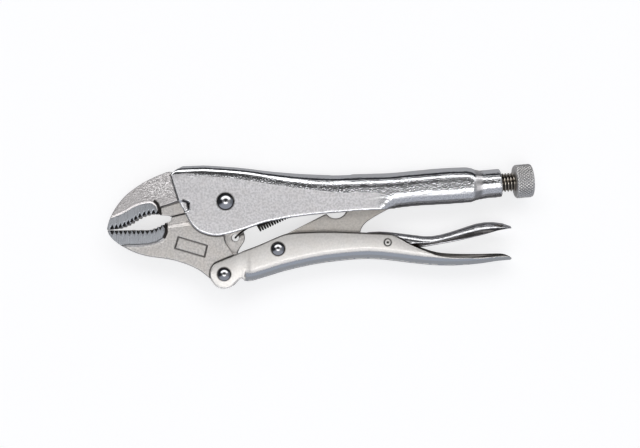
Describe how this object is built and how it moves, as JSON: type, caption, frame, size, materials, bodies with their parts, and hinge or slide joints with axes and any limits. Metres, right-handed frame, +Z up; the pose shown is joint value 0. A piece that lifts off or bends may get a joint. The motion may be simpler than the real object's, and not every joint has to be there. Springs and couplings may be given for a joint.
{
  "type": "locking pliers",
  "caption": "Locking pliers with curved toothed jaws, wire cutter, toggle link, release lever and a knurled adjusting screw, lying on their side.",
  "frame": {"origin": "middle of the tool's outline on the surface that it lies on", "axes": "+X along the tool from the jaws to the adjusting knob, +Y across it towards the upper handle, +Z up out of its flat side"},
  "size_m": [0.2504, 0.0734, 0.0208],
  "materials": {
    "plated_sheet": "nickel plate over a grained pressing",
    "plated_forging": "nickel plate over a blasted forging, ground pads",
    "satin_plated_sheet": "satin nickel plate",
    "tumbled_forging": "tumbled, matt",
    "bright_plated_sheet": "bright nickel plate",
    "screw_steel": "machined thread",
    "knurled_steel": "diamond knurl, plated",
    "spring_wire": "oiled spring wire",
    "polished_rivet": "polished head"
  },
  "bodies": {
    "frame": {"upper_handle": "plated_sheet", "upper_jaw": "plated_forging", "jaw_rivet": "polished_rivet", "return_spring": "spring_wire"},
    "lower_jaw": {"lower_jaw": "plated_forging"},
    "lower_handle": {"lower_handle": "satin_plated_sheet", "handle_rivet": "polished_rivet", "link_rivet": "polished_rivet", "lever_rivet": "polished_rivet"},
    "toggle_link": {"toggle_link": "tumbled_forging"},
    "release_lever": {"release_lever": "bright_plated_sheet"},
    "screw_travel": {"screw_point": "screw_steel"},
    "screw": {"adjusting_screw": "screw_steel", "adjusting_knob": "knurled_steel"}
  },
  "joints": [
    {"name": "jaw_pivot", "type": "hinge", "parent": "frame", "child": "lower_jaw", "pos_m": [-0.05553, 0.01437, 0.0104], "axis": [0, 0, 1], "range_deg": [0, 10.6], "deforming": ["return_spring"]},
    {"name": "handle_pivot", "type": "hinge", "parent": "lower_jaw", "child": "lower_handle", "pos_m": [-0.05633, -0.02823, 0.0104], "axis": [0, 0, -1], "range_deg": [0, 45]},
    {"name": "link_pivot", "type": "hinge", "parent": "lower_handle", "child": "toggle_link", "pos_m": [-0.02493, -0.01338, 0.0104], "axis": [0, 0, 1], "range_deg": [0, 57.4]},
    {"name": "release_pivot", "type": "hinge", "parent": "lower_handle", "child": "release_lever", "pos_m": [0.03907, -0.00953, 0.0104], "axis": [0, 0, -1], "range_deg": [0, 9]},
    {"name": "screw_advance", "type": "slide", "parent": "frame", "child": "screw_travel", "axis": [0.9962, 0.0872, 0], "range_m": [0, 0.01633]},
    {"name": "screw_turn", "type": "hinge", "parent": "screw_travel", "child": "screw", "pos_m": [0.10147, 0.02497, 0.0104], "axis": [0.9962, 0.0872, 0], "range_deg": [0, 3240]}
  ],
  "couplings": [
    {"joint": "jaw_pivot", "follows": "handle_pivot", "ratio": 0.235},
    {"joint": "link_pivot", "follows": "handle_pivot", "ratio": 1.275},
    {"joint": "release_pivot", "follows": "handle_pivot", "ratio": 0.2},
    {"joint": "screw_turn", "follows": "screw_advance", "rad_per_m": 3463.1}
  ]
}
